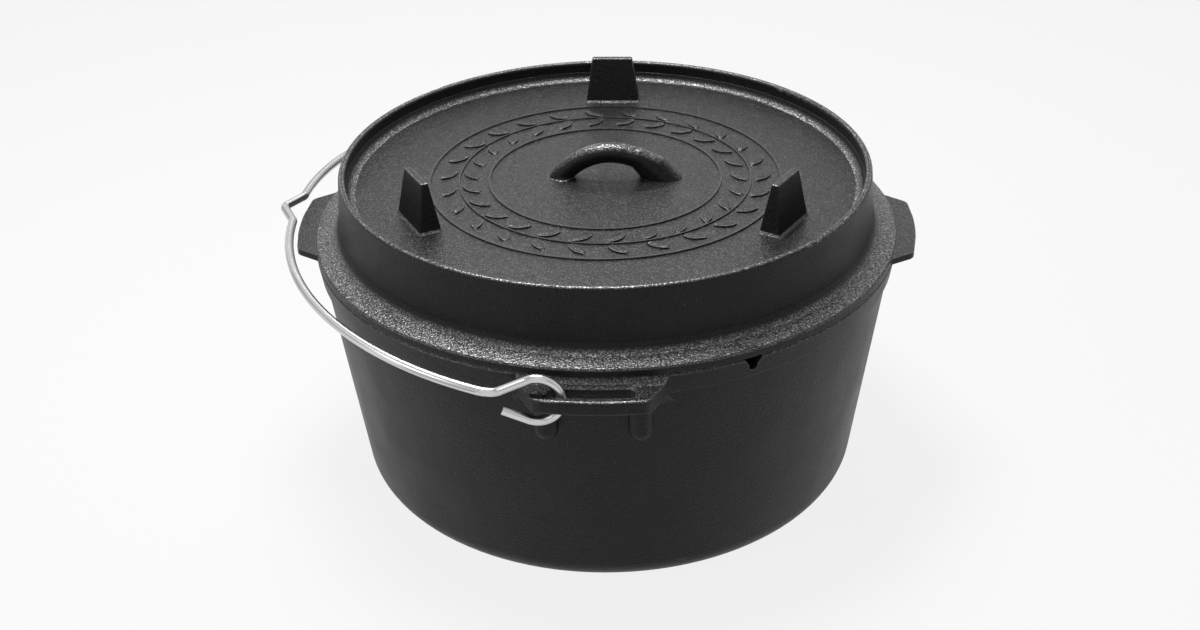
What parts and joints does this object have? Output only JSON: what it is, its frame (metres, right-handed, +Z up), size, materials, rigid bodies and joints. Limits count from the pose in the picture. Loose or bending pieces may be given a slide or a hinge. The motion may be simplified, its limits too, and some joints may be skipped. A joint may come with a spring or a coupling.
{
  "type": "camp dutch oven",
  "caption": "Round cast-iron camp oven with slotted ears, a deep lid with three legs, an arched handle and two lugs, and a wire bail.",
  "frame": {"origin": "centre of the pot's base, on the surface it stands on", "axes": "+Z up; the ears face -Y and +Y, the lid's lugs face -X and +X, and the bail lies towards -X"},
  "size_m": [0.3444, 0.3444, 0.1908],
  "materials": {
    "cast_iron": "seasoned, matt with a slight sheen",
    "bail_wire": "drawn, satin"
  },
  "bodies": {
    "pot": {"pot": "cast_iron"},
    "lid": {"lid": "cast_iron"},
    "bail": {"bail": "bail_wire"}
  },
  "joints": [
    {"name": "bail_swing", "type": "hinge", "parent": "pot", "child": "bail", "pos_m": [-0.025, 0, 0.1292], "axis": [0, 1, 0], "range_deg": [0, 130]},
    {"name": "lid_lift", "type": "slide", "parent": "pot", "child": "lid", "axis": [0, 0, 1], "range_m": [0, 0.2]}
  ]
}
